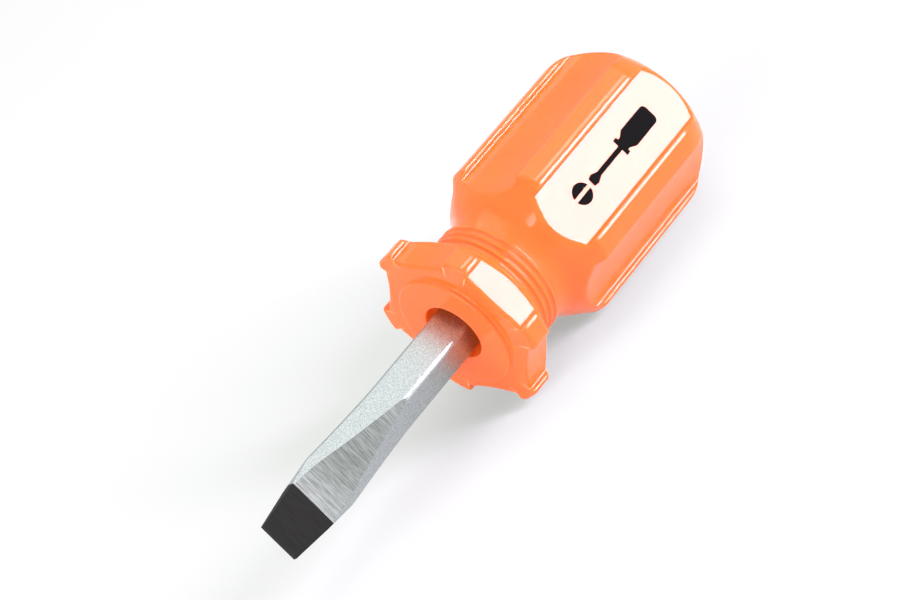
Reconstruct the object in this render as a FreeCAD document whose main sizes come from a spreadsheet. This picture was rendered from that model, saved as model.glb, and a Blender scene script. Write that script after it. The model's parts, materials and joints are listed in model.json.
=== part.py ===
import FreeCAD, Part
import math
import os
import re
import Sketcher

# A stubby slotted screwdriver, in millimetres.  It lies on two lobes of its handle, blade towards +X,
# with its axis level.  The origin is on the surface it lies on, below the middle of its length.
#
# Stations are counted from the collar's front face: "reach" towards the tip, "depth" towards the butt.

SIZES = [
    # the handle: one moulding of revolution with six shallow panels cut along it
    ("handle_length", 46.4, "collar face to the end of the butt"),
    ("lobe_radius", 13.3, "outer radius of the collar and of the body, over the lobes"),
    ("butt_edge_radius", 6.5, "rounding between the body and the butt"),
    ("butt_dome_radius", 22.0, "radius of the domed end"),
    ("body_depth", 17.5, "where the body reaches its full radius"),
    ("shoulder_radius", 1.2, "rounding between the flare and the body"),
    ("flare_angle", 39.4, "slope of the flare, in degrees from the axis"),
    ("flare_hollow_radius", 4.4, "hollow between the neck and the flare"),
    ("neck_radius", 9.05, "radius at the foot of the flare"),
    ("ring_radius", 9.28, "radius over the crests of the neck rings"),
    ("ring_pitch", 1.13, "spacing of the neck rings"),
    ("ring_cove_radius", 0.62, "hollow between two rings"),
    ("ring_count", 4, "rings on the neck"),
    ("last_ring_depth", 9.58, "crest of the ring next to the flare"),
    ("collar_rim_depth", 3.3, "rear edge of the collar's rim"),
    ("collar_back_depth", 5.5, "foot of the collar's sloping back"),
    ("collar_foot_radius", 9.8, "radius at the foot of the collar's back"),
    ("collar_edge_radius", 0.7, "rounding of the collar's front edge"),
    ("boss_radius", 8.75, "raised ring on the collar face"),
    ("boss_height", 0.73, "height of the raised ring"),
    ("boss_edge_radius", 0.3, "rounding of the raised ring"),
    ("mouth_radius", 4.35, "round mouth that the bar enters by"),
    ("mouth_depth", 3.5, "depth of the round mouth behind the collar face"),
    # the six panels
    ("panel_count", 6, "panels around the handle"),
    ("panel_floor", 11.1, "distance of a panel's flat floor from the axis"),
    ("panel_half_width", 4.8, "half the width between a panel's walls"),
    ("panel_hollow_radius", 0.6, "hollow between floor and wall"),
    ("lip_radius", 0.4, "rounding of a lobe's long edges"),
    ("lip_overrun", 0.02, "how far the lip's curve runs past the lobe"),
    ("cut_margin", 2.0, "how far cutting shapes reach past the solid"),
    # the blade: a square bar, flattened and widened towards a ground tip
    ("blade_reach", 38.45, "collar face to tip"),
    ("tang_depth", 31.0, "how deep the bar goes behind the collar face"),
    ("bar_flats", 5.36, "square bar, across its flats"),
    ("bar_corner_radius", 0.7, "rounding of the bar's corners"),
    ("blade_turn", 25.0, "angle of the tip's flat about the axis, in degrees"),
    ("flare_start_reach", 15.0, "where the bar starts to widen"),
    ("flare_middle_reach", 21.5, "section between the two ends of the widening"),
    ("flare_end_reach", 28.0, "where the bar is widest"),
    ("flare_middle_growth", 0.28, "how much half the width has grown there"),
    ("flare_growth", 0.72, "how much half the width grows in all"),
    ("tip_width", 5.8, "width of the tip's edge"),
    ("tip_thickness", 0.8, "thickness of the tip's edge"),
    ("side_taper", 6.4, "slope of each side towards the tip, in degrees"),
    ("tip_taper", 4.3, "slope of each ground face near the tip, in degrees"),
    ("grind_taper", 9.1, "slope of each ground face further back, in degrees"),
    ("grind_turn_reach", 28.5, "where the two slopes of a ground face meet"),
    ("grind_blend_radius", 60.0, "hollow that the wheel leaves between the two slopes"),
    ("tang_chamfer", 0.5, "chamfer on the end of the bar inside the handle"),
    ("wing_half_span", 4.2, "wings pressed out of the bar, axis to edge"),
    ("wing_thickness", 1.6, "thickness of a wing"),
    ("wing_start", 4.0, "end of the bar to the wings"),
    ("wing_length", 12.0, "length of a wing at its foot"),
    ("wing_slope", 1.4, "length of each sloping end of a wing"),
    ("socket_gap", 0.01, "gap between the bar and its socket"),
    ("socket_end_gap", 0.5, "space left beyond the end of the bar"),
]

NAMES = sorted((name for name, value, note in SIZES), key=len, reverse=True)
SIZE_WORD = re.compile(r"\b(" + "|".join(NAMES) + r")\b")

doc = FreeCAD.newDocument("Screwdriver")


def make_sheet():
    """The driving dimensions, one per row: name, value, meaning."""
    sheet = doc.addObject("Spreadsheet::Sheet", "Sizes")
    for row, (name, value, note) in enumerate(SIZES, start=1):
        sheet.set(f"A{row}", name)
        sheet.set(f"B{row}", str(value))
        sheet.set(f"C{row}", note)
        sheet.setAlias(f"B{row}", name)
    doc.recompute()
    return sheet


def bound(text):
    """The expression for a formula written with the names of SIZES."""
    return SIZE_WORD.sub(r"Sizes.\1", text)


def number(owner, text):
    """The value of a formula just now, as a plain number."""
    value = owner.evalExpression(bound(text))
    return float(getattr(value, "Value", value))


def bind(owner, **formulas):
    """Binds properties of an object to formulas."""
    for name, text in formulas.items():
        owner.setExpression(name.replace("__", "."), bound(text))


def plane(body, role):
    """One of a body's own origin planes or axes."""
    return next(feature for feature in body.Origin.OriginFeatures if feature.Role == role)


def new_sketch(body, name, role, along="0", turn="0"):
    """A sketch on an origin plane, moved along the plane's normal and turned about it."""
    sketch = body.newObject("Sketcher::SketchObject", name)
    sketch.AttachmentSupport = [(plane(body, role), "")]
    sketch.MapMode = "FlatFace"
    sketch.setExpression("AttachmentOffset.Base.z", bound(f"({along}) * 1mm"))
    sketch.setExpression("AttachmentOffset.Rotation.Angle", bound(f"({turn}) * 1deg"))
    return sketch


def pin_to_origin(sketch, geometry, end, across, up):
    """Holds a point of a sketch at formulas for its two coordinates."""
    for axis, kind, text in ((-2, "DistanceX", across), (-1, "DistanceY", up)):
        value = number(sketch, text)
        if abs(value) < 1e-9:
            sketch.addConstraint(Sketcher.Constraint("PointOnObject", geometry, end, axis))
        elif value > 0:
            index = sketch.addConstraint(Sketcher.Constraint(kind, -1, 1, geometry, end, value))
            sketch.setExpression(f"Constraints[{index}]", bound(text))
        else:
            index = sketch.addConstraint(Sketcher.Constraint(kind, geometry, end, -1, 1, -value))
            sketch.setExpression(f"Constraints[{index}]", bound(f"-({text})"))


def arc_between(start, end, radius, turn):
    """An arc of under half a circle, anticlockwise for turn +1 and clockwise for -1."""
    chord = end - start
    reach = math.sqrt(max(radius ** 2 - (chord.Length / 2) ** 2, 0.0))
    left = FreeCAD.Vector(-chord.y, chord.x, 0).normalize()
    centre = (start + end) / 2 + left * reach * turn
    circle = Part.Circle(centre, FreeCAD.Vector(0, 0, 1), radius)
    first, last = (start, end) if turn > 0 else (end, start)
    angles = [math.atan2(point.y - centre.y, point.x - centre.x) for point in (first, last)]
    return Part.ArcOfCircle(circle, angles[0], angles[1])


def draw(sketch, corners):
    """A closed outline.  Each corner is (x, y), or (x, y, radius, turn) where an arc follows it."""
    spots = [FreeCAD.Vector(number(sketch, corner[0]), number(sketch, corner[1]), 0) for corner in corners]
    edges = []
    for index, corner in enumerate(corners):
        start, end = spots[index], spots[(index + 1) % len(spots)]
        if len(corner) == 2:
            geometry = sketch.addGeometry(Part.LineSegment(start, end))
            edges.append((geometry, 1, 2))
            continue
        radius = number(sketch, corner[2])
        geometry = sketch.addGeometry(arc_between(start, end, radius, corner[3]))
        edges.append((geometry, 1, 2) if corner[3] > 0 else (geometry, 2, 1))
        hold = sketch.addConstraint(Sketcher.Constraint("Radius", geometry, radius))
        sketch.setExpression(f"Constraints[{hold}]", bound(corner[2]))
    for index, (geometry, head, tail) in enumerate(edges):
        before = edges[index - 1]
        sketch.addConstraint(Sketcher.Constraint("Coincident", before[0], before[2], geometry, head))
        pin_to_origin(sketch, geometry, head, corners[index][0], corners[index][1])


def mirrored(corners, across=False, up=False):
    """The same outline reflected, with its arcs turning the other way."""
    flipped = []
    for corner in corners:
        x = f"-({corner[0]})" if across else corner[0]
        y = f"-({corner[1]})" if up else corner[1]
        flipped.append((x, y) if len(corner) == 2 else (x, y, corner[2], -corner[3]))
    return flipped


def cut_has_worked(body, feature, before):
    """Stops if a cutting feature has left the volume that was there before it."""
    doc.recompute()
    if not feature.Shape.Volume < before - 1e-6:
        raise RuntimeError(f"{body.Label}: {feature.Label} cuts nothing")


def diamond(half_width, half_height, radius):
    """A section of the bar: a diamond with rounded corners, standing on one of them.

    The rounding of the two side corners and of the top and bottom corners starts at the same
    distance from each corner, so a widened section keeps a square bar's rounding.
    """
    slope = f"sqrt(({half_width}) ^ 2 + ({half_height}) ^ 2)"
    back = f"({radius})"
    run_x = f"{back} * ({half_width}) / {slope}"
    run_y = f"{back} * ({half_height}) / {slope}"
    side_arc = f"({radius}) * ({half_height}) / ({half_width})"
    top_arc = f"({radius}) * ({half_width}) / ({half_height})"
    side_x = f"({half_width}) - {run_x}"
    top_y = f"({half_height}) - {run_y}"
    return [
        (side_x, f"-({run_y})", side_arc, 1),
        (side_x, run_y),
        (run_x, top_y, top_arc, 1),
        (f"-({run_x})", top_y),
        (f"-({side_x})", run_y, side_arc, 1),
        (f"-({side_x})", f"-({run_y})"),
        (f"-({run_x})", f"-({top_y})", top_arc, 1),
        (run_x, f"-({top_y})"),
    ]


BAR_HALF = "bar_flats / sqrt(2)"
TURN = "blade_turn - 90"
LIP_CENTRE_Y = "(panel_half_width + lip_radius)"
LIP_CENTRE_Z = f"sqrt((lobe_radius - lip_radius + lip_overrun) ^ 2 - {LIP_CENTRE_Y} ^ 2)"
AXIS_HEIGHT = f"({LIP_CENTRE_Z} + lip_radius)"
BUTT_X = "-(handle_length + blade_reach) / 2"


def handle_outline():
    """Half of the handle's lengthwise section: x from the butt, y from the axis."""
    sine, cosine = "sin(flare_angle * 1deg)", "cos(flare_angle * 1deg)"
    edge_y = "(lobe_radius - butt_edge_radius)"
    edge_x = f"(butt_dome_radius - sqrt((butt_dome_radius - butt_edge_radius) ^ 2 - {edge_y} ^ 2))"
    share = "butt_dome_radius / (butt_dome_radius - butt_edge_radius)"
    corner_x = f"butt_dome_radius - (butt_dome_radius - {edge_x}) * {share}"
    shoulder_y = f"(lobe_radius - shoulder_radius * (1 - {cosine}))"
    hollow_y = f"(neck_radius + flare_hollow_radius * (1 - {cosine}))"
    shoulder_depth = f"(body_depth - shoulder_radius * {sine})"
    hollow_depth = f"({shoulder_depth} - ({shoulder_y} - {hollow_y}) * {cosine} / {sine})"
    neck_depth = f"({hollow_depth} - flare_hollow_radius * {sine})"
    outline = [
        ("0", "0", "butt_dome_radius", -1),
        (corner_x, f"{edge_y} * {share}", "butt_edge_radius", -1),
        (edge_x, "lobe_radius"),
        ("handle_length - body_depth", "lobe_radius", "shoulder_radius", -1),
        (f"handle_length - {shoulder_depth}", shoulder_y),
        (f"handle_length - {hollow_depth}", hollow_y, "flare_hollow_radius", 1),
        (f"handle_length - {neck_depth}", "neck_radius", "ring_cove_radius", 1),
    ]
    rings = int(dict((name, value) for name, value, note in SIZES)["ring_count"])
    for ring in range(rings):
        crest = f"handle_length - last_ring_depth + {ring} * ring_pitch"
        outline.append((crest, "ring_radius", "ring_cove_radius", 1))
    outline += [
        ("handle_length - collar_back_depth", "collar_foot_radius"),
        ("handle_length - collar_rim_depth", "lobe_radius"),
        ("handle_length - collar_edge_radius", "lobe_radius", "collar_edge_radius", -1),
        ("handle_length", "lobe_radius - collar_edge_radius"),
        ("handle_length", "boss_radius + boss_edge_radius", "boss_edge_radius", -1),
        ("handle_length + boss_edge_radius", "boss_radius"),
        ("handle_length + boss_height - boss_edge_radius", "boss_radius", "boss_edge_radius", -1),
        ("handle_length + boss_height", "boss_radius - boss_edge_radius"),
        ("handle_length + boss_height", "mouth_radius"),
        ("handle_length - mouth_depth", "mouth_radius"),
        ("handle_length - mouth_depth", "0"),
    ]
    return outline


def panel_outline():
    """The shape that cuts one panel, seen along the axis, with the panel at the top."""
    hollow = f"min(panel_hollow_radius; 0.98 * ({LIP_CENTRE_Z} - panel_floor))"
    spread = "(lobe_radius + lip_overrun) / (lobe_radius - lip_radius + lip_overrun)"
    crown_y = f"({LIP_CENTRE_Y} * {spread})"
    crown_z = f"({LIP_CENTRE_Z} * {spread})"
    top = "lobe_radius + cut_margin"
    return [
        (f"-(panel_half_width - {hollow})", "panel_floor"),
        (f"panel_half_width - {hollow}", "panel_floor", hollow, 1),
        ("panel_half_width", f"panel_floor + {hollow}"),
        ("panel_half_width", LIP_CENTRE_Z, "lip_radius", -1),
        (crown_y, crown_z),
        (crown_y, top),
        (f"-{crown_y}", top),
        (f"-{crown_y}", crown_z, "lip_radius", -1),
        ("-panel_half_width", LIP_CENTRE_Z),
        ("-panel_half_width", f"panel_floor + {hollow}", hollow, 1),
    ]


def pocket(body, name, sketch, length=None, through=False, reverse=False):
    """A pocket, checked to have removed something."""
    before = body.Tip.Shape.Volume
    feature = body.newObject("PartDesign::Pocket", name)
    feature.Profile = sketch
    feature.Reversed = reverse
    if through:
        feature.Type = "ThroughAll"
        feature.Midplane = True
    else:
        bind(feature, Length=length)
    cut_has_worked(body, feature, before)
    return feature


def make_handle():
    """The moulded handle, with its socket for the bar."""
    body = doc.addObject("PartDesign::Body", "Handle")
    body.Label = "handle"

    profile = new_sketch(body, "HandleProfile", "XY_Plane")
    draw(profile, handle_outline())
    turned = body.newObject("PartDesign::Revolution", "HandleTurned")
    turned.Profile = profile
    turned.ReferenceAxis = (profile, ["H_Axis"])
    turned.Angle = 360
    doc.recompute()

    panel = new_sketch(body, "PanelSection", "YZ_Plane")
    draw(panel, panel_outline())
    first = pocket(body, "Panel", panel, through=True)
    around = body.newObject("PartDesign::PolarPattern", "Panels")
    around.Originals = [first]
    around.Axis = (plane(body, "X_Axis"), [""])
    around.Angle = 360
    bind(around, Occurrences="panel_count")
    body.Tip = around
    doc.recompute()

    socket_length = "tang_depth + socket_end_gap - mouth_depth"
    socket = new_sketch(body, "SocketSection", "YZ_Plane", "handle_length - mouth_depth", TURN)
    gap = "socket_gap * sqrt(2)"
    draw(socket, diamond(f"({BAR_HALF} + {gap})", f"({BAR_HALF} + {gap})", "bar_corner_radius"))
    pocket(body, "Socket", socket, socket_length)

    slot = new_sketch(body, "WingSlotSection", "YZ_Plane", "handle_length - mouth_depth", TURN)
    reach, half = "wing_half_span + socket_gap", "wing_thickness / 2 + socket_gap"
    draw(slot, [(f"-({reach})", f"-({half})"), (reach, f"-({half})"), (reach, half), (f"-({reach})", half)])
    pocket(body, "WingSlots", slot, "tang_depth - mouth_depth - wing_start + socket_gap")

    bind(body, Placement__Base__x=f"({BUTT_X}) * 1mm", Placement__Base__z=f"{AXIS_HEIGHT} * 1mm")
    return body


def ground_face_outline():
    """What the wheel takes off one face of the blade: x from the end of the bar, y its thickness."""
    tip_x = "(tang_depth + blade_reach)"
    turn_x = "(tang_depth + grind_turn_reach)"
    tip_slope, grind_slope = "tan(tip_taper * 1deg)", "tan(grind_taper * 1deg)"
    turn_y = f"(tip_thickness / 2 + ({tip_x} - {turn_x}) * {tip_slope})"
    blend = "(grind_blend_radius * tan((grind_taper - tip_taper) * 0.5deg))"
    top = f"({BAR_HALF} + cut_margin)"
    return [
        (f"{turn_x} - ({top} - {turn_y}) / {grind_slope}", top),
        (f"{turn_x} - {blend} * cos(grind_taper * 1deg)",
         f"{turn_y} + {blend} * sin(grind_taper * 1deg)", "grind_blend_radius", 1),
        (f"{turn_x} + {blend} * cos(tip_taper * 1deg)", f"{turn_y} - {blend} * sin(tip_taper * 1deg)"),
        (f"{tip_x} + cut_margin", f"tip_thickness / 2 - cut_margin * {tip_slope}"),
        (f"{tip_x} + cut_margin", top),
    ]


def side_outline():
    """What is ground off one side of the blade: x from the end of the bar, y its width."""
    tip_x = "(tang_depth + blade_reach)"
    slope = "tan(side_taper * 1deg)"
    outer = f"({BAR_HALF} + flare_growth + cut_margin)"
    return [
        (f"{tip_x} - ({outer} - tip_width / 2) / {slope}", outer),
        (f"{tip_x} + cut_margin", f"tip_width / 2 - cut_margin * {slope}"),
        (f"{tip_x} + cut_margin", outer),
    ]


def wing_outline():
    """One wing, seen from the tip's flat: x from the end of the bar, y across it."""
    root = f"({BAR_HALF}) / 2"
    return [
        ("wing_start", root),
        ("wing_start + wing_length", root),
        ("wing_start + wing_length - wing_slope", "wing_half_span"),
        ("wing_start + wing_slope", "wing_half_span"),
    ]


def make_blade():
    """The square bar with its widened, ground tip and its wings."""
    body = doc.addObject("PartDesign::Body", "Blade")
    body.Label = "blade"

    section = new_sketch(body, "BarSection", "YZ_Plane")
    draw(section, diamond(BAR_HALF, BAR_HALF, "bar_corner_radius"))
    bar = body.newObject("PartDesign::Pad", "Bar")
    bar.Profile = section
    bind(bar, Length="tang_depth + flare_start_reach")
    doc.recompute()

    numbered = enumerate(bar.Shape.Edges, start=1)
    rim = [f"Edge{index}" for index, edge in numbered if edge.BoundBox.XMax < 1e-3]
    chamfer = body.newObject("PartDesign::Chamfer", "TangChamfer")
    chamfer.Base = (bar, rim)
    bind(chamfer, Size="min(tang_chamfer; 0.8 * bar_corner_radius)")
    cut_has_worked(body, chamfer, bar.Shape.Volume)

    stations = [
        ("FlareStart", "flare_start_reach", "0"),
        ("FlareMiddle", "flare_middle_reach", "flare_middle_growth"),
        ("FlareEnd", "flare_end_reach", "flare_growth"),
    ]
    sections = []
    for name, reach, growth in stations:
        sketch = new_sketch(body, name, "YZ_Plane", f"tang_depth + {reach}")
        draw(sketch, diamond(f"({BAR_HALF} + {growth})", BAR_HALF, "bar_corner_radius"))
        sections.append(sketch)
    doc.recompute()
    widened = body.newObject("PartDesign::AdditiveLoft", "Widened")
    widened.Profile = sections[0]
    widened.Sections = sections[1:]
    doc.recompute()

    last = new_sketch(body, "TipSection", "YZ_Plane", "tang_depth + flare_end_reach")
    draw(last, diamond(f"({BAR_HALF} + flare_growth)", BAR_HALF, "bar_corner_radius"))
    tip = body.newObject("PartDesign::Pad", "TipBlank")
    tip.Profile = last
    bind(tip, Length="blade_reach - flare_end_reach")
    doc.recompute()

    faces = new_sketch(body, "GroundFaces", "XZ_Plane")
    draw(faces, ground_face_outline())
    draw(faces, mirrored(ground_face_outline(), up=True))
    pocket(body, "Grind", faces, through=True)

    sides = new_sketch(body, "GroundSides", "XY_Plane")
    draw(sides, side_outline())
    draw(sides, mirrored(side_outline(), up=True))
    pocket(body, "SideGrind", sides, through=True)

    wings = new_sketch(body, "WingOutlines", "XY_Plane")
    draw(wings, wing_outline())
    draw(wings, mirrored(wing_outline(), up=True))
    pressed = body.newObject("PartDesign::Pad", "Wings")
    pressed.Profile = wings
    pressed.Midplane = True
    bind(pressed, Length="wing_thickness")
    doc.recompute()

    bind(body, Placement__Base__x=f"({BUTT_X} + handle_length - tang_depth) * 1mm",
         Placement__Base__z=f"{AXIS_HEIGHT} * 1mm")
    body.Placement.Rotation = FreeCAD.Rotation(FreeCAD.Vector(1, 0, 0), 0)
    bind(body, Placement__Rotation__Angle=f"({TURN}) * 1deg")
    return body


def check(bodies):
    """Stops if any object has failed or any piece isn't one valid solid."""
    for item in doc.Objects:
        if {"Invalid", "Error"} & set(item.State):
            raise RuntimeError(f"{item.Label} has failed: {item.State}")
    for body in bodies:
        shape = body.Shape
        if shape.isNull() or not shape.isValid() or len(shape.Solids) != 1:
            raise RuntimeError(f"{body.Label} isn't one valid solid")


def export(bodies):
    """Writes each piece to its own file, named after it."""
    os.makedirs("parts", exist_ok=True)
    for body in bodies:
        body.Shape.exportStep(f"parts/{body.Label}.step")
        box = body.Shape.BoundBox
        print(f"{body.Label}: {body.Shape.Volume:.1f} mm3, x {box.XMin:.2f} to {box.XMax:.2f},"
              f" y {box.YMin:.2f} to {box.YMax:.2f}, z {box.ZMin:.2f} to {box.ZMax:.2f}")


make_sheet()
pieces = [make_handle(), make_blade()]
doc.recompute()
check(pieces)
export(pieces)
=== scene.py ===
"""A stubby slotted screwdriver: a glossy orange moulded handle on a plated steel blade, in a studio.

Sizes inside the classes are millimetres and angles are degrees.  Each mesh is shaped about the tool's
own axis, with x counted from the collar's front face towards the tip, and placed at the end, in metres.
Directions around the axis are counted from +Y towards +Z.
"""

import json
import logging
import math
from dataclasses import dataclass, field
from enum import Enum

import bmesh
import bpy
from mathutils import Matrix, Vector


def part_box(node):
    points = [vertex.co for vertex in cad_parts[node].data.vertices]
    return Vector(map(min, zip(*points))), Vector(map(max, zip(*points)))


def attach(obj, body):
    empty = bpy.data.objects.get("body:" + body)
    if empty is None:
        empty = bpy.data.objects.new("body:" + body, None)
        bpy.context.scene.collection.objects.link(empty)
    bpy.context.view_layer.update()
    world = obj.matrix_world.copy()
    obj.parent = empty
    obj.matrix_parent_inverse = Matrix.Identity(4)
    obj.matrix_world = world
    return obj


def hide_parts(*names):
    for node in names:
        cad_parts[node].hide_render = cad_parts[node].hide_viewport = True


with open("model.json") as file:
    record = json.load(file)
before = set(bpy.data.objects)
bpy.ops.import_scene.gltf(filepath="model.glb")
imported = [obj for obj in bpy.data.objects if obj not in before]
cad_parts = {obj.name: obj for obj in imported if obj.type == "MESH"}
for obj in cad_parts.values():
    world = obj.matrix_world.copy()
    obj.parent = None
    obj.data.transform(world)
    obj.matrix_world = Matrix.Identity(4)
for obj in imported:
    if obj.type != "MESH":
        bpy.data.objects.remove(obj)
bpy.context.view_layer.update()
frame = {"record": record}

LOG = logging.getLogger("screwdriver")
MM = 0.001
BODY = "root"

Shader = bpy.types.ShaderNodeTree
Point = tuple[float, float]


class Slot(Enum):
    """The record's material slots."""

    HANDLE = "handle_plastic"
    BLADE = "blade_steel"


# ---------------------------------------------------------------- shared helpers


def linear(code: str) -> tuple[float, float, float, float]:
    """Turns a colour into the renderer's linear values.

    Args:
        code: sRGB hex, such as "#ff8844".

    Returns:
        Linear red, green, blue and an alpha of 1.
    """
    parts = [int(code[start:start + 2], 16) / 255 for start in (1, 3, 5)]
    return *(((part + 0.055) / 1.055) ** 2.4 if part > 0.04045 else part / 12.92 for part in parts), 1.0


def per_mm(size: float) -> float:
    """The scale of a pattern on Object coordinates whose cell is this many millimetres."""
    return 1 / (size * MM)


def add_node(tree: Shader, kind: str, inputs: dict | None = None, **settings: object) -> bpy.types.Node:
    """Adds one shader node.

    Args:
        tree: the material's or world's node tree.
        kind: the node's type, without its "ShaderNode" prefix.
        inputs: what each input gets, by name or index: a plain value, or a socket to link from.
        settings: the node's own properties.

    Returns:
        The node.
    """
    node = tree.nodes.new("ShaderNode" + kind)
    for name, value in settings.items():
        setattr(node, name, value)
    for name, value in (inputs or {}).items():
        if isinstance(value, bpy.types.NodeSocket):
            tree.links.new(value, node.inputs[name])
        else:
            node.inputs[name].default_value = value
    return node


def new_material(name: str) -> tuple[bpy.types.Material, Shader]:
    """Makes an empty node material.

    Args:
        name: what the real material is.

    Returns:
        The material and its node tree.
    """
    material = bpy.data.materials.new(name)
    material.use_nodes = True
    material.node_tree.nodes.clear()
    return material, material.node_tree


def to_object(bm: bmesh.types.BMesh, name: str, materials: list[bpy.types.Material]) -> bpy.types.Object:
    """Turns a finished bmesh into a smooth-shaded object at the origin.

    Args:
        bm: the mesh, in metres and in place; it is freed.
        name: the object's name.
        materials: its material slots, in order.

    Returns:
        The object, linked to the scene.
    """
    bmesh.ops.recalc_face_normals(bm, faces=bm.faces)
    mesh = bpy.data.meshes.new(name)
    bm.to_mesh(mesh)
    bm.free()
    mesh.shade_smooth()
    for material in materials:
        mesh.materials.append(material)
    piece = bpy.data.objects.new(name, mesh)
    bpy.context.scene.collection.objects.link(piece)
    return piece


def arc(centre: Point, radius: float, start: float, end: float, steps: int) -> list[Point]:
    """Points along an arc, without its last one.

    Args:
        centre: the arc's centre.
        radius: its radius.
        start: first angle, in degrees from the first axis towards the second.
        end: last angle.
        steps: how many stretches it is divided into.

    Returns:
        The points.
    """
    x, y = centre
    angles = [math.radians(start + (end - start) * step / steps) for step in range(steps)]
    return [(x + radius * math.cos(angle), y + radius * math.sin(angle)) for angle in angles]


def bulge(start: Point, end: Point, radius: float, steps: int) -> list[Point]:
    """Points along an arc through two ends, without the last one.

    Args:
        start: first point.
        end: last point.
        radius: radius of the arc, which lies left of the way to the end, or right of it if below 0.
        steps: how many stretches it is divided into.

    Returns:
        The points.
    """
    chord = Vector(end) - Vector(start)
    side = math.copysign(1, radius)
    reach = math.sqrt(radius ** 2 - (chord.length / 2) ** 2)
    centre = (Vector(start) + Vector(end)) / 2 - Vector((-chord.y, chord.x)).normalized() * reach * side
    first = math.degrees(math.atan2(start[1] - centre.y, start[0] - centre.x))
    half = math.degrees(math.asin(chord.length / 2 / abs(radius)))
    return arc((centre.x, centre.y), abs(radius), first, first - 2 * half * side, steps)


def straight(start: Point, end: Point, steps: int) -> list[Point]:
    """Evenly spaced points from start to end, without the last one."""
    return [tuple(Vector(start).lerp(Vector(end), step / steps)) for step in range(steps)]


def soft_min(first: float, second: float, blend: float) -> float:
    """The smaller of two numbers, with the corner between them rounded off.

    Args:
        first: one number.
        second: the other.
        blend: the difference below which the rounding starts.

    Returns:
        The rounded minimum.
    """
    near = max(blend - abs(first - second), 0.0)
    return min(first, second) - near * near / (4 * blend)


# ---------------------------------------------------------------- finishes


@dataclass(frozen=True)
class MouldedAcetate:
    """Injection-moulded cellulose acetate, dyed fluorescent orange and tumbled to a gloss.

    Light enters it and comes back red from the thick parts, and its skin mirrors every bright panel of
    the studio.  A weak, even glow of its own is painted light: it stands in for the dye's fluorescence
    and also lifts the shaded mouth and hollows.
    """

    colour: str = "#ff6c26"
    flow_colour: str = "#ff7832"
    flow_size: float = 14.0
    ripple_size: float = 5.0
    ripple_height: float = 0.004
    light_reach: float = 0.8
    # Painted glow: an even emission that stands in for fluorescence and lifts the shaded mouth and
    # hollows.
    painted_glow_colour: str = "#ff3c0a"
    painted_glow_strength: float = 0.2

    def make(self) -> bpy.types.Material:
        """Builds the material."""
        material, tree = new_material("moulded_cellulose_acetate")
        place = add_node(tree, "TexCoord").outputs["Object"]
        flow = add_node(tree, "TexNoise", {
            "Vector": place, "Scale": per_mm(self.flow_size), "Detail": 2.0})
        colour = add_node(tree, "Mix", {
            0: flow.outputs["Fac"], 6: linear(self.colour), 7: linear(self.flow_colour)}, data_type="RGBA")
        ripple = add_node(tree, "TexNoise", {
            "Vector": place, "Scale": per_mm(self.ripple_size), "Detail": 1.0})
        bump = add_node(tree, "Bump", {
            "Height": ripple.outputs["Fac"], "Strength": 1.0, "Distance": self.ripple_height * MM})
        # The emission below is a painted glow, the same in light and in shade.
        shader = add_node(tree, "BsdfPrincipled", {
            "Base Color": colour.outputs[2], "Normal": bump.outputs["Normal"], "Roughness": 0.07,
            "IOR": 1.48, "Subsurface Weight": 1.0, "Subsurface Radius": (1.0, 0.35, 0.10),
            "Subsurface Scale": self.light_reach * MM, "Emission Color": linear(self.painted_glow_colour),
            "Emission Strength": self.painted_glow_strength})
        add_node(tree, "OutputMaterial", {"Surface": shader.outputs["BSDF"]})
        return material


@dataclass(frozen=True)
class SatinNickel:
    """Drawn steel bar with a satin nickel plate: pale and slightly blue, with a fine frosted grain."""

    colour: str = "#cdd2d3"
    dark_grain: str = "#8e9597"
    grain: float = 0.12
    grain_height: float = 0.02

    def make(self) -> bpy.types.Material:
        """Builds the material."""
        material, tree = new_material("satin_nickel_plated_steel")
        place = add_node(tree, "TexCoord").outputs["Object"]
        grain = add_node(tree, "TexNoise", {
            "Vector": place, "Scale": per_mm(self.grain), "Detail": 1.0})
        rough = add_node(tree, "MapRange", {
            "Value": grain.outputs["Fac"], "To Min": 0.24, "To Max": 0.42})
        frost = add_node(tree, "MapRange", {
            "Value": grain.outputs["Fac"], "From Min": 0.3, "From Max": 0.7})
        colour = add_node(tree, "Mix", {
            0: frost.outputs["Result"], 6: linear(self.dark_grain),
            7: linear(self.colour)}, data_type="RGBA")
        bump = add_node(tree, "Bump", {
            "Height": grain.outputs["Fac"], "Strength": 0.6, "Distance": self.grain_height * MM})
        shader = add_node(tree, "BsdfPrincipled", {
            "Base Color": colour.outputs[2], "Metallic": 1.0, "Roughness": rough.outputs["Result"],
            "Normal": bump.outputs["Normal"]})
        add_node(tree, "OutputMaterial", {"Surface": shader.outputs["BSDF"]})
        return material


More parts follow.
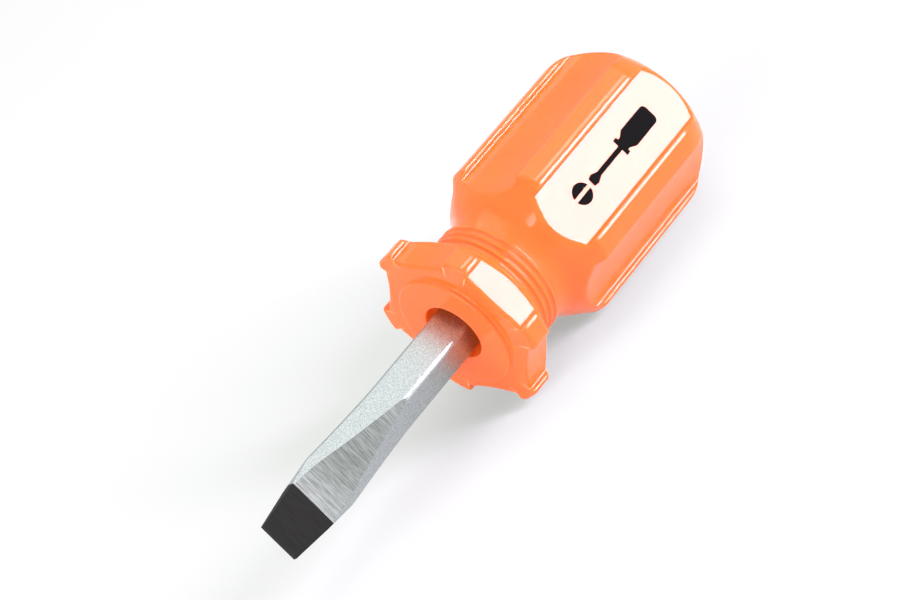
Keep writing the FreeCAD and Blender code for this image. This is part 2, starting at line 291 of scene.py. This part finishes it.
@dataclass(frozen=True)
class GroundSteel:
    """Bare steel off a grinding wheel: mid grey, with fine lines straight across the blade."""

    turn: float
    colour: str = "#9ba29c"
    groove: str = "#585d58"
    line_pitch: float = 0.13
    line_height: float = 0.02
    line_stretch: tuple[float, float, float] = (1.0, 0.05, 0.05)

    def make(self) -> bpy.types.Material:
        """Builds the material."""
        material, tree = new_material("wheel_ground_steel")
        place = add_node(tree, "TexCoord").outputs["Object"]
        turned = add_node(tree, "Mapping", {
            "Vector": place, "Rotation": (math.radians(-self.turn), 0, 0), "Scale": self.line_stretch})
        lines = add_node(tree, "TexNoise", {
            "Vector": turned.outputs["Vector"], "Scale": per_mm(self.line_pitch), "Detail": 4.0,
            "Roughness": 0.7})
        tone = add_node(tree, "MapRange", {
            "Value": lines.outputs["Fac"], "From Min": 0.3, "From Max": 0.7})
        colour = add_node(tree, "Mix", {
            0: tone.outputs["Result"], 6: linear(self.groove), 7: linear(self.colour)}, data_type="RGBA")
        bump = add_node(tree, "Bump", {
            "Height": lines.outputs["Fac"], "Strength": 0.6, "Distance": self.line_height * MM})
        shader = add_node(tree, "BsdfPrincipled", {
            "Base Color": colour.outputs[2], "Metallic": 1.0, "Roughness": 0.42,
            "Normal": bump.outputs["Normal"]})
        add_node(tree, "OutputMaterial", {"Surface": shader.outputs["BSDF"]})
        return material


@dataclass(frozen=True)
class BlackOxide:
    """The hardened tip, blackened in hot salts: near black and dull, with faint grinding lines."""

    turn: float
    colour: str = "#191a15"
    groove: str = "#0a0a08"
    line_pitch: float = 0.22
    line_height: float = 0.02
    line_stretch: tuple[float, float, float] = (1.0, 0.08, 0.08)

    def make(self) -> bpy.types.Material:
        """Builds the material."""
        material, tree = new_material("black_oxide_steel")
        place = add_node(tree, "TexCoord").outputs["Object"]
        turned = add_node(tree, "Mapping", {
            "Vector": place, "Rotation": (math.radians(-self.turn), 0, 0), "Scale": self.line_stretch})
        lines = add_node(tree, "TexNoise", {
            "Vector": turned.outputs["Vector"], "Scale": per_mm(self.line_pitch), "Detail": 4.0,
            "Roughness": 0.7})
        tone = add_node(tree, "MapRange", {
            "Value": lines.outputs["Fac"], "From Min": 0.35, "From Max": 0.72})
        colour = add_node(tree, "Mix", {
            0: tone.outputs["Result"], 6: linear(self.groove), 7: linear(self.colour)}, data_type="RGBA")
        bump = add_node(tree, "Bump", {
            "Height": lines.outputs["Fac"], "Strength": 0.4, "Distance": self.line_height * MM})
        shader = add_node(tree, "BsdfPrincipled", {
            "Base Color": colour.outputs[2], "Roughness": 0.6, "Normal": bump.outputs["Normal"],
            "Specular IOR Level": 0.2})
        add_node(tree, "OutputMaterial", {"Surface": shader.outputs["BSDF"]})
        return material


@dataclass(frozen=True)
class PadInk:
    """Black pad-printing ink: matt, so that it stays black where the plastic mirrors a lamp."""

    colour: str = "#0c0c0c"
    speckle: float = 0.25

    def make(self) -> bpy.types.Material:
        """Builds the material."""
        material, tree = new_material("pad_printed_ink")
        place = add_node(tree, "TexCoord").outputs["Object"]
        speckle = add_node(tree, "TexNoise", {
            "Vector": place, "Scale": per_mm(self.speckle), "Detail": 2.0})
        rough = add_node(tree, "MapRange", {
            "Value": speckle.outputs["Fac"], "To Min": 0.55, "To Max": 0.75})
        shader = add_node(tree, "BsdfPrincipled", {
            "Base Color": linear(self.colour), "Roughness": rough.outputs["Result"],
            "Specular IOR Level": 0.05})
        add_node(tree, "OutputMaterial", {"Surface": shader.outputs["BSDF"]})
        return material


@dataclass(frozen=True)
class PaperSweep:
    """Pale grey background paper, matt and plain, which the lamps bring up to white."""

    colour: str = "#d6d6d6"

    def make(self) -> bpy.types.Material:
        """Builds the material."""
        material, tree = new_material("studio_paper")
        shader = add_node(tree, "BsdfPrincipled", {
            "Base Color": linear(self.colour), "Roughness": 0.9, "Specular IOR Level": 0.1})
        add_node(tree, "OutputMaterial", {"Surface": shader.outputs["BSDF"]})
        return material


# ---------------------------------------------------------------- the tool's place


@dataclass(frozen=True)
class Place:
    """Where the tool's axis and its collar's front face are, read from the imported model."""

    boss_height: float = 0.73

    @property
    def axis_height(self) -> float:
        """Height of the axis above the floor, in metres: the tip's mount lies on it."""
        mounts = {mount["name"]: mount for mount in frame["record"]["mounts"]}
        return mounts["tip_end"]["pos_m"][2]

    @property
    def matrix(self) -> Matrix:
        """Takes millimetres about the axis to metres in the frame."""
        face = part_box("handle")[1].x - self.boss_height * MM
        return Matrix.Translation((face, 0, self.axis_height)) @ Matrix.Scale(MM, 4)


@dataclass(frozen=True)
class SurfaceLine:
    """One lengthwise line of the handle's surface."""

    round_angle: float
    cut_angle: float
    cut_radius: float


@dataclass
class Handle:
    """The moulded handle: a turned shape with six shallow panels along it."""

    place: Place
    length: float = 46.4
    lobe_radius: float = 13.3
    butt_edge_radius: float = 6.5
    butt_dome_radius: float = 22.0
    body_depth: float = 17.5
    shoulder_radius: float = 1.2
    flare_angle: float = 39.4
    flare_hollow_radius: float = 4.4
    neck_radius: float = 9.05
    ring_radius: float = 9.28
    ring_pitch: float = 1.13
    ring_cove_radius: float = 0.62
    ring_count: int = 4
    last_ring_depth: float = 9.58
    collar_rim_depth: float = 3.3
    collar_back_depth: float = 5.5
    collar_foot_radius: float = 9.8
    collar_edge_radius: float = 0.5
    boss_radius: float = 8.75
    boss_height: float = 0.73
    boss_edge_radius: float = 0.3
    mouth_radius: float = 4.35
    mouth_depth: float = 3.5
    mouth_edge_radius: float = 0.2
    socket_radius: float = 3.6
    socket_depth: float = 31.5
    panels: int = 6
    panel_floor: float = 10.9
    panel_floor_radius: float = 30.0
    panel_half_width: float = 4.8
    panel_hollow_radius: float = 0.3
    lip_radius: float = 0.4
    first_panel: float = 30.0
    moulded_edge: float = 0.3
    lines: list[SurfaceLine] = field(default_factory=list)

    def flare(self) -> list[Point]:
        """Hollow, slope and shoulder between the neck and the body, as depth and radius."""
        angle = math.radians(self.flare_angle)
        shoulder = (self.body_depth, self.lobe_radius - self.shoulder_radius)
        shoulder_start = (shoulder[0] - self.shoulder_radius * math.sin(angle),
                          shoulder[1] + self.shoulder_radius * math.cos(angle))
        hollow_top = self.neck_radius + self.flare_hollow_radius * (1 - math.cos(angle))
        hollow_end = shoulder_start[0] - (shoulder_start[1] - hollow_top) / math.tan(angle)
        centre = (hollow_end - self.flare_hollow_radius * math.sin(angle),
                  self.neck_radius + self.flare_hollow_radius)
        points = arc(centre, self.flare_hollow_radius, -90, -90 + self.flare_angle, 14)
        points += straight((hollow_end, hollow_top), shoulder_start, 18)
        points += arc(shoulder, self.shoulder_radius, 90 + self.flare_angle, 90, 8)
        return points

    def rings(self, neck_start: Point) -> list[Point]:
        """The coves of the neck, from the collar's foot to the plain neck.

        Args:
            neck_start: depth and radius where the flare's hollow starts.

        Returns:
            Points of depth and radius.
        """
        first = self.last_ring_depth - (self.ring_count - 1) * self.ring_pitch
        crests = [(first + ring * self.ring_pitch, self.ring_radius) for ring in range(self.ring_count)]
        foot = (self.collar_back_depth, self.collar_foot_radius)
        points = []
        for start, end in zip([foot] + crests, crests + [neck_start]):
            points += bulge(start, end, -self.ring_cove_radius, 9)
        return points

    def butt(self) -> list[Point]:
        """The rounded edge and the domed end."""
        edge_radius = self.lobe_radius - self.butt_edge_radius
        span = self.butt_dome_radius - self.butt_edge_radius
        dome_centre = self.length - self.butt_dome_radius
        edge_depth = dome_centre + math.sqrt(span ** 2 - edge_radius ** 2)
        turn = math.degrees(math.asin(edge_radius / span))
        points = straight((self.body_depth, self.lobe_radius), (edge_depth, self.lobe_radius), 10)
        points += arc((edge_depth, edge_radius), self.butt_edge_radius, 90, turn, 40)
        points += arc((dome_centre, 0), self.butt_dome_radius, turn, 0, 14)
        return points + [(self.length, 0.0)]

    def collar(self) -> list[Point]:
        """Socket, mouth, raised ring, face and rim of the collar."""
        edge, boss = self.collar_edge_radius, self.boss_edge_radius
        front = -self.boss_height
        mouth, mouth_edge, depth = self.mouth_radius, self.mouth_edge_radius, self.mouth_depth
        points = [(self.socket_depth, 0.0), (self.socket_depth, self.socket_radius)]
        points += straight((depth, self.socket_radius), (depth, mouth), 2)
        points += straight((depth, mouth), (front + mouth_edge, mouth), 4)
        points += arc((front + mouth_edge, mouth + mouth_edge), mouth_edge, -90, -180, 4)
        points += straight((front, mouth + mouth_edge), (front, self.boss_radius - boss), 5)
        points += arc((front + boss, self.boss_radius - boss), boss, 180, 90, 5)
        points += arc((-boss, self.boss_radius + boss), boss, -90, 0, 5)
        points += straight((0.0, self.boss_radius + boss), (0.0, self.lobe_radius - edge), 8)
        points += arc((edge, self.lobe_radius - edge), edge, 180, 90, 6)
        points += straight((edge, self.lobe_radius), (self.collar_rim_depth, self.lobe_radius), 5)
        points += straight((self.collar_rim_depth, self.lobe_radius),
                           (self.collar_back_depth, self.collar_foot_radius), 22)
        return points

    def outline(self) -> list[Point]:
        """Half of the lengthwise section, as depth and radius, from the socket's end to the butt."""
        flare = self.flare()
        return self.collar() + self.rings(flare[0]) + flare + self.butt()

    def half_panel(self) -> list[SurfaceLine]:
        """The lines from the middle of a panel to the middle of the lobe beside it.

        The panel's section is a wide arc for its floor, a tighter one up its side and a small one over
        the lip, each tangent to the next.
        """
        floor = Vector((0.0, self.panel_floor + self.panel_floor_radius))
        hollow_y = self.panel_half_width - self.panel_hollow_radius
        drop = math.sqrt((self.panel_floor_radius - self.panel_hollow_radius) ** 2 - hollow_y ** 2)
        hollow = Vector((hollow_y, floor.y - drop))
        lip_reach = self.lobe_radius - self.lip_radius
        both = self.panel_hollow_radius + self.lip_radius
        along = (lip_reach ** 2 - both ** 2 + hollow.length_squared) / (2 * hollow.length)
        outward = hollow.normalized()
        lip = outward * along + Vector((outward.y, -outward.x)) * math.sqrt(lip_reach ** 2 - along ** 2)
        first = math.degrees(math.atan2(hollow.y - floor.y, hollow.x - floor.x))
        second = math.degrees(math.atan2(lip.y - hollow.y, lip.x - hollow.x))
        crown = math.degrees(math.atan2(lip.x, lip.y))
        curve = arc(tuple(floor), self.panel_floor_radius, -90, first, 11)
        turning = len(curve)
        curve += arc(tuple(hollow), self.panel_hollow_radius, first, second, 9)
        curve += arc(tuple(lip), self.lip_radius, second + 180, 90 - crown, 5)
        angles = [math.degrees(math.atan2(y, z)) for y, z in curve]
        found = []
        for index, (y, z) in enumerate(curve):
            share = (index - turning) / (len(curve) - turning)
            spread = angles[index] if share < 0 else angles[turning] + (crown - angles[turning]) * share
            found.append(SurfaceLine(spread, angles[index], math.hypot(y, z)))
        half = 180 / self.panels
        for step in range(6):
            angle = crown + (half - crown) * step / 6
            found.append(SurfaceLine(angle, angle, 2 * self.lobe_radius))
        return found

    def make_lines(self) -> None:
        """Lays out the lengthwise lines all round, closer together where the panels' edges turn."""
        half = self.half_panel()
        pitch = 360 / self.panels
        ridge = SurfaceLine(pitch / 2, pitch / 2, 2 * self.lobe_radius)
        mirror = [SurfaceLine(-line.round_angle, -line.cut_angle, line.cut_radius)
                  for line in half[:0:-1]]
        for panel in range(self.panels):
            turn = self.first_panel + panel * pitch
            self.lines += [SurfaceLine(line.round_angle + turn, line.cut_angle + turn, line.cut_radius)
                           for line in mirror + half + [ridge]]

    def cut(self, radius: float, line: SurfaceLine) -> tuple[float, float]:
        """Where a line meets a round section, or the panel cut into it.

        Args:
            radius: radius of the round section.
            line: the lengthwise line.

        Returns:
            Angle and radius of the point.
        """
        into = min(max((radius - line.cut_radius) / self.moulded_edge + 0.5, 0.0), 1.0)
        angle = line.round_angle + (line.cut_angle - line.round_angle) * into
        return angle, soft_min(radius, line.cut_radius, self.moulded_edge)

    def shaped(self, depth: float, radius: float, line: SurfaceLine) -> tuple[float, float]:
        """Where one point of the turned shape goes when the panels are cut.

        Args:
            depth: its station behind the collar's face.
            radius: its distance from the axis.
            line: the lengthwise line that it is on.

        Returns:
            Angle and radius of the point.
        """
        foot = self.boss_radius + self.boss_edge_radius
        if radius <= foot + 1e-4:
            return line.round_angle, radius
        if depth > self.collar_edge_radius - 1e-4:
            return self.cut(radius, line)
        rim_angle, rim_radius = self.cut(self.lobe_radius, line)
        flat_radius = self.lobe_radius - self.collar_edge_radius
        if radius > flat_radius:
            return rim_angle, rim_radius - (self.lobe_radius - radius)
        share = (radius - foot) / (flat_radius - foot)
        angle = line.round_angle + (rim_angle - line.round_angle) * share
        return angle, foot + (rim_radius - self.collar_edge_radius - foot) * share

    def build(self, plastic: bpy.types.Material) -> bpy.types.Object:
        """Turns the outline, presses the panels in and places the handle.

        Args:
            plastic: the handle's material.

        Returns:
            The handle.
        """
        self.make_lines()
        bm = bmesh.new()
        chain = [bm.verts.new((-depth, radius, 0)) for depth, radius in self.outline()]
        edges = [bm.edges.new(pair) for pair in zip(chain, chain[1:])]
        bmesh.ops.spin(bm, geom=chain + edges, cent=(0, 0, 0), axis=(1, 0, 0), angle=math.tau,
                       steps=len(self.lines), use_merge=True, use_duplicate=False)
        bmesh.ops.remove_doubles(bm, verts=bm.verts, dist=1e-4)
        for vert in bm.verts:
            radius = math.hypot(vert.co.y, vert.co.z)
            if radius < 1e-3:
                continue
            turn = math.atan2(vert.co.z, vert.co.y) / math.tau * len(self.lines)
            angle, radius = self.shaped(-vert.co.x, radius, self.lines[round(turn) % len(self.lines)])
            vert.co.y = radius * math.cos(math.radians(angle))
            vert.co.z = radius * math.sin(math.radians(angle))
        bmesh.ops.transform(bm, matrix=self.place.matrix, verts=bm.verts)
        piece = to_object(bm, "moulded_handle", [plastic])
        # The plastic would tint the paper under it, and the studio's shadows are neutral.
        piece.visible_diffuse = False
        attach(piece, BODY)
        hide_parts("handle")
        return piece


class BladeZone(Enum):
    """Which finish a face of the blade has."""

    PLATED = 0
    GROUND = 1
    BLACK = 2


@dataclass
class Blade:
    """The steel blade: a square bar, widened and ground to a flat tip, blackened at its end."""

    place: Place
    reach: float = 38.45
    tang_depth: float = 31.0
    bar_flats: float = 5.36
    bar_corner_radius: float = 0.7
    turn: float = 25.0
    widening: tuple[float, float] = (15.0, 28.0)
    widening_slope: float = 0.03077
    widening_curve: float = 0.001893
    tip_width: float = 5.8
    tip_thickness: float = 0.8
    side_taper: float = 6.4
    tip_taper: float = 4.3
    grind_taper: float = 9.1
    grind_turn_reach: float = 28.5
    grind_blend_radius: float = 60.0
    black_reach: float = 31.8
    edge_break: float = 0.06
    broken_edge_angle: float = 16.0
    crease_angle: float = 28.0
    cut_margin: float = 2.0

    @property
    def half_diagonal(self) -> float:
        """Axis to the bar's corner, before rounding."""
        return self.bar_flats / math.sqrt(2)

    def growth(self, reach: float) -> float:
        """How much half the width has grown at a station towards the tip."""
        run = min(max(reach, self.widening[0]), self.widening[1]) - self.widening[0]
        return self.widening_slope * run + self.widening_curve * run * run

    def blank(self) -> bmesh.types.BMesh:
        """The bar before grinding: a rounded square section pushed along, widening as it goes."""
        bm = bmesh.new()
        ring = bmesh.ops.create_circle(bm, cap_ends=True, radius=self.half_diagonal, segments=4)
        bmesh.ops.rotate(bm, verts=ring["verts"], cent=(0, 0, 0),
                         matrix=Matrix.Rotation(math.pi / 2, 3, "Y"))
        bmesh.ops.bevel(bm, geom=ring["verts"], offset=self.bar_corner_radius, offset_type="OFFSET",
                        segments=8, profile=0.5, affect="VERTICES", material=-1, clamp_overlap=False)
        start = Matrix.Translation((-self.tang_depth, 0, 0))
        bmesh.ops.transform(bm, matrix=start, verts=bm.verts)
        first, last = self.widening
        stations = [-self.tang_depth, 0.0]
        stations += [first + (last - first) * step / 12 for step in range(13)]
        stations += [self.black_reach, self.reach]
        face = bm.faces[:][0]
        for before, after in zip(stations, stations[1:]):
            pushed = bmesh.ops.extrude_face_region(bm, geom=[face])
            # Only the first face stays, as the bar's closed end.
            if before > -self.tang_depth:
                bmesh.ops.delete(bm, geom=[face], context="FACES_ONLY")
            face = next(item for item in pushed["geom"] if isinstance(item, bmesh.types.BMFace))
            old, new = (self.half_diagonal + self.growth(reach) for reach in (before, after))
            bmesh.ops.scale(bm, vec=(1, new / old, 1), verts=face.verts)
            bmesh.ops.translate(bm, vec=(after - before, 0, 0), verts=face.verts)
        return bm

    def grind_outline(self) -> list[Point]:
        """What the wheel takes off one face, as reach and thickness."""
        tip_slope = math.tan(math.radians(self.tip_taper))
        grind_slope = math.tan(math.radians(self.grind_taper))
        turn_height = self.tip_thickness / 2 + (self.reach - self.grind_turn_reach) * tip_slope
        blend = self.grind_blend_radius * math.tan(math.radians((self.grind_taper - self.tip_taper) / 2))
        top = self.half_diagonal + self.cut_margin
        before = (self.grind_turn_reach - blend * math.cos(math.radians(self.grind_taper)),
                  turn_height + blend * math.sin(math.radians(self.grind_taper)))
        after = (self.grind_turn_reach + blend * math.cos(math.radians(self.tip_taper)),
                 turn_height - blend * math.sin(math.radians(self.tip_taper)))
        end = self.reach + self.cut_margin
        return [(self.grind_turn_reach - (top - turn_height) / grind_slope, top)] + bulge(
            before, after, -self.grind_blend_radius, 8) + [
            after, (end, self.tip_thickness / 2 - self.cut_margin * tip_slope), (end, top)]

    def side_outline(self) -> list[Point]:
        """What is ground off one side, as reach and width."""
        slope = math.tan(math.radians(self.side_taper))
        outer = self.half_diagonal + self.growth(self.reach) + self.cut_margin
        end = self.reach + self.cut_margin
        return [(self.reach - (outer - self.tip_width / 2) / slope, outer),
                (end, self.tip_width / 2 - self.cut_margin * slope), (end, outer)]

    def cutter(self, outline: list[Point], turn: float, zone: BladeZone) -> bpy.types.Object:
        """A block that grinds one side of the blade.

        Args:
            outline: its shape, seen across the blade.
            turn: how far it is turned about the axis; 0 cuts the thickness from above.
            zone: the finish that it leaves.

        Returns:
            The block, to be removed after use.
        """
        bm = bmesh.new()
        half = self.half_diagonal + self.growth(self.reach) + 2 * self.cut_margin
        loop = [bm.verts.new((reach, -half, height)) for reach, height in outline]
        pushed = bmesh.ops.extrude_face_region(bm, geom=[bm.faces.new(loop)])
        moved = [item for item in pushed["geom"] if isinstance(item, bmesh.types.BMVert)]
        bmesh.ops.translate(bm, vec=(0, 2 * half, 0), verts=moved)
        bmesh.ops.rotate(bm, verts=bm.verts, cent=(0, 0, 0),
                         matrix=Matrix.Rotation(math.radians(turn), 3, "X"))
        for face in bm.faces:
            face.material_index = zone.value
        return to_object(bm, "cutter", [])

    def grind(self, piece: bpy.types.Object) -> None:
        """Cuts the two faces and the two sides with Boolean modifiers, and applies them."""
        jobs = [(self.grind_outline(), 0, BladeZone.GROUND),
                (self.grind_outline(), 180, BladeZone.GROUND),
                (self.side_outline(), 90, BladeZone.PLATED),
                (self.side_outline(), -90, BladeZone.PLATED)]
        cutters = [self.cutter(*job) for job in jobs]
        for cutter in cutters:
            modifier = piece.modifiers.new("grind", "BOOLEAN")
            modifier.operation = "DIFFERENCE"
            modifier.solver = "EXACT"
            modifier.object = cutter
        evaluated = piece.evaluated_get(bpy.context.evaluated_depsgraph_get())
        ground = bpy.data.meshes.new_from_object(evaluated)
        piece.modifiers.clear()
        piece.data = ground
        for cutter in cutters:
            bpy.data.objects.remove(cutter)

    def finish_edges(self, piece: bpy.types.Object) -> None:
        """Marks the blackened end, breaks the ground edges and places the blade."""
        bm = bmesh.new()
        bm.from_mesh(piece.data)
        bmesh.ops.remove_doubles(bm, verts=bm.verts, dist=1e-4)
        bmesh.ops.bisect_plane(bm, geom=bm.verts[:] + bm.edges[:] + bm.faces[:], dist=1e-4,
                               plane_co=(self.black_reach, 0, 0), plane_no=(1, 0, 0))
        for face in bm.faces:
            if face.calc_center_median().x > self.black_reach:
                face.material_index = BladeZone.BLACK.value
        sharp = [edge for edge in bm.edges
                 if len(edge.link_faces) == 2
                 and edge.calc_face_angle(0) > math.radians(self.broken_edge_angle)
                 and min(vert.co.x for vert in edge.verts) > 0]
        bmesh.ops.bevel(bm, geom=sharp, offset=self.edge_break, offset_type="OFFSET", segments=2,
                        profile=0.5, affect="EDGES", material=-1, clamp_overlap=True)
        turn = Matrix.Rotation(math.radians(self.turn - 90), 4, "X")
        bmesh.ops.transform(bm, matrix=self.place.matrix @ turn, verts=bm.verts)
        bmesh.ops.recalc_face_normals(bm, faces=bm.faces)
        bm.to_mesh(piece.data)
        bm.free()

    def build(self, plated: bpy.types.Material, ground: bpy.types.Material,
              black: bpy.types.Material) -> bpy.types.Object:
        """Makes the bar, grinds it and dresses it.

        Args:
            plated: finish of the bar.
            ground: finish of the two ground faces.
            black: finish of the hardened end.

        Returns:
            The blade.
        """
        piece = to_object(self.blank(), "steel_blade", [plated, ground, black])
        self.grind(piece)
        self.finish_edges(piece)
        piece.data.shade_smooth()
        piece.data.set_sharp_from_angle(angle=math.radians(self.crease_angle))
        weight = piece.modifiers.new("flat_faces_stay_flat", "WEIGHTED_NORMAL")
        weight.keep_sharp = True
        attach(piece, BODY)
        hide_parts("blade")
        return piece


@dataclass
class PrintedMark:
    """A generic printed pictogram on one panel: a slotted screw head and a driver, in black ink."""

    place: Place
    panel: float = 30.0
    panel_floor: float = 10.9
    middle_depth: float = 29.0
    lift: float = 0.05
    thickness: float = 0.02
    screw_radius: float = 1.55
    slot_half: float = 0.28
    screw_offset: float = -7.6
    driver_half: float = 1.5

    def driver_outline(self) -> list[Point]:
        """A driver seen from the side: grip, collar, shank and flared tip, along and across."""
        half = self.driver_half
        grip = arc((8.2, half - 0.7), 0.7, 0, 90, 5) + [(8.2, half), (3.6, half)]
        collar = [(2.6, half * 0.62), (2.2, half * 0.62), (2.2, half * 0.9), (1.5, half * 0.9)]
        shank = [(1.5, 0.36), (-3.6, 0.36), (-4.6, 0.75), (-5.4, 0.62)]
        upper = grip + collar + shank
        lower = [(along, -across) for along, across in reversed(upper)]
        return upper + lower

    def build(self, ink: bpy.types.Material) -> bpy.types.Object:
        """Cuts the shapes out of a thin film of ink and lays them on the panel.

        Args:
            ink: the ink's material.

        Returns:
            The mark.
        """
        bm = bmesh.new()
        loop = [bm.verts.new((along, across, 0)) for along, across in self.driver_outline()]
        bm.faces.new(loop)
        flat = math.degrees(math.asin(self.slot_half / self.screw_radius))
        half = arc((self.screw_offset, 0), self.screw_radius, flat, 180 - flat, 20)
        half.append((self.screw_offset - self.screw_radius * math.cos(math.radians(flat)), self.slot_half))
        for side in (1, -1):
            bm.faces.new([bm.verts.new((along, side * across, 0)) for along, across in half])
        bmesh.ops.recalc_face_normals(bm, faces=bm.faces)
        bmesh.ops.solidify(bm, geom=bm.faces[:], thickness=self.thickness)
        angle = math.radians(self.panel - 90)
        lay = Matrix.Rotation(angle, 4, "X") @ Matrix.Translation(
            (-self.middle_depth, 0, self.panel_floor + self.lift)) @ Matrix.Diagonal((-1, 1, 1, 1))
        bmesh.ops.transform(bm, matrix=self.place.matrix @ lay, verts=bm.verts)
        piece = to_object(bm, "printed_mark", [ink])
        piece.data.set_sharp_from_angle(angle=math.radians(30))
        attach(piece, BODY)
        return piece


# ---------------------------------------------------------------- the studio


@dataclass(frozen=True)
class SoftBox:
    """One lamp: a bright rectangle that faces the tool."""

    name: str
    towards: tuple[float, float, float]
    distance: float
    size: tuple[float, float]
    radiance: float
    tint: str = "#ffffff"


@dataclass
class Studio:
    """Floor, lamps and camera.  Lengths here are metres."""

    place: Place
    floor_size: float = 3.0
    surround: str = "#f6faf6"
    surround_strength: float = 0.84
    lamps: tuple[SoftBox, ...] = (
        SoftBox("side_softbox", (-0.53, 0.76, 0.38), 0.8, (0.20, 0.62), 20.0, "#f9ecff"),
        SoftBox("strip_lamp", (-0.50, 0.207, 0.84), 0.8, (0.30, 0.035), 7.0, "#ffffff"),
        SoftBox("top_softbox", (-0.25, -0.25, 0.95), 1.0, (1.1, 0.9), 0.9, "#ffffff"),
        SoftBox("front_fill", (1.0, 0.10, 0.45), 0.9, (0.6, 0.6), 4.4, "#ffffff"),
    )
    camera_turn: float = 56.82
    camera_height: float = 31.77
    camera_roll: float = -31.0
    camera_distance: float = 0.340246
    camera_aim: tuple[float, float, float] = (-2.678, -1.828, 2.470)
    camera_lens: float = 104.578

    def build_floor(self, paper: bpy.types.Material) -> bpy.types.Object:
        """Lays the paper that the tool rests on."""
        bm = bmesh.new()
        bmesh.ops.create_grid(bm, x_segments=1, y_segments=1, size=self.floor_size / 2)
        floor = to_object(bm, "floor", [paper])
        return floor

    def build_lamps(self) -> None:
        """Hangs each soft box and sets the light of the room around."""
        for lamp in self.lamps:
            light = bpy.data.lights.new(lamp.name, "AREA")
            light.shape = "RECTANGLE"
            light.size, light.size_y = lamp.size
            light.energy = lamp.radiance * math.pi * lamp.size[0] * lamp.size[1]
            light.color = linear(lamp.tint)[:3]
            holder = bpy.data.objects.new(lamp.name, light)
            direction = Vector(lamp.towards).normalized()
            across = Vector((1, 0, 0)) - direction * direction.x
            across.normalize()
            facing = Matrix((across, direction.cross(across), direction)).transposed().to_4x4()
            holder.matrix_world = Matrix.Translation(direction * lamp.distance) @ facing
            bpy.context.scene.collection.objects.link(holder)
        world = bpy.data.worlds.new("room")
        world.use_nodes = True
        world.node_tree.nodes.clear()
        light = add_node(world.node_tree, "Background", {
            "Color": linear(self.surround), "Strength": self.surround_strength})
        add_node(world.node_tree, "OutputWorld", {"Surface": light.outputs["Background"]})
        bpy.context.scene.world = world

    def build_camera(self) -> bpy.types.Object:
        """Sets the camera by its bearing, height and roll about a point near the collar."""
        turn, height = math.radians(self.camera_turn), math.radians(self.camera_height)
        away = Vector((math.cos(turn) * math.cos(height), math.sin(turn) * math.cos(height),
                       math.sin(height)))
        aim = self.place.matrix @ Vector(self.camera_aim)
        camera = bpy.data.objects.new("camera", bpy.data.cameras.new("camera"))
        camera.data.sensor_width = 36.0
        camera.data.lens = self.camera_lens
        camera.data.clip_start = 0.01
        level = away.to_track_quat("Z", "Y").to_matrix().to_4x4()
        roll = Matrix.Rotation(math.radians(self.camera_roll), 4, "Z")
        camera.matrix_world = Matrix.Translation(aim + away * self.camera_distance) @ level @ roll
        bpy.context.scene.collection.objects.link(camera)
        bpy.context.scene.camera = camera
        return camera

    def build(self, paper: bpy.types.Material) -> None:
        """Makes the whole studio and sets plain, uncurved colours."""
        self.build_floor(paper)
        self.build_lamps()
        self.build_camera()
        bpy.context.scene.view_settings.view_transform = "Standard"


def main() -> None:
    """Builds the tool and the studio, in order."""
    logging.basicConfig(level=logging.INFO, format="%(name)s: %(message)s")
    place = Place()
    blade = Blade(place)
    steel_turn = blade.turn - 90
    pieces = [
        Handle(place).build(MouldedAcetate().make()),
        blade.build(SatinNickel().make(), GroundSteel(steel_turn).make(), BlackOxide(steel_turn).make()),
        PrintedMark(place).build(PadInk().make()),
    ]
    for piece in pieces:
        LOG.info("%s: %d faces", piece.name, len(piece.data.polygons))
    Studio(place).build(PaperSweep().make())
    LOG.info("studio is ready")


if __name__ == "__main__":
    main()
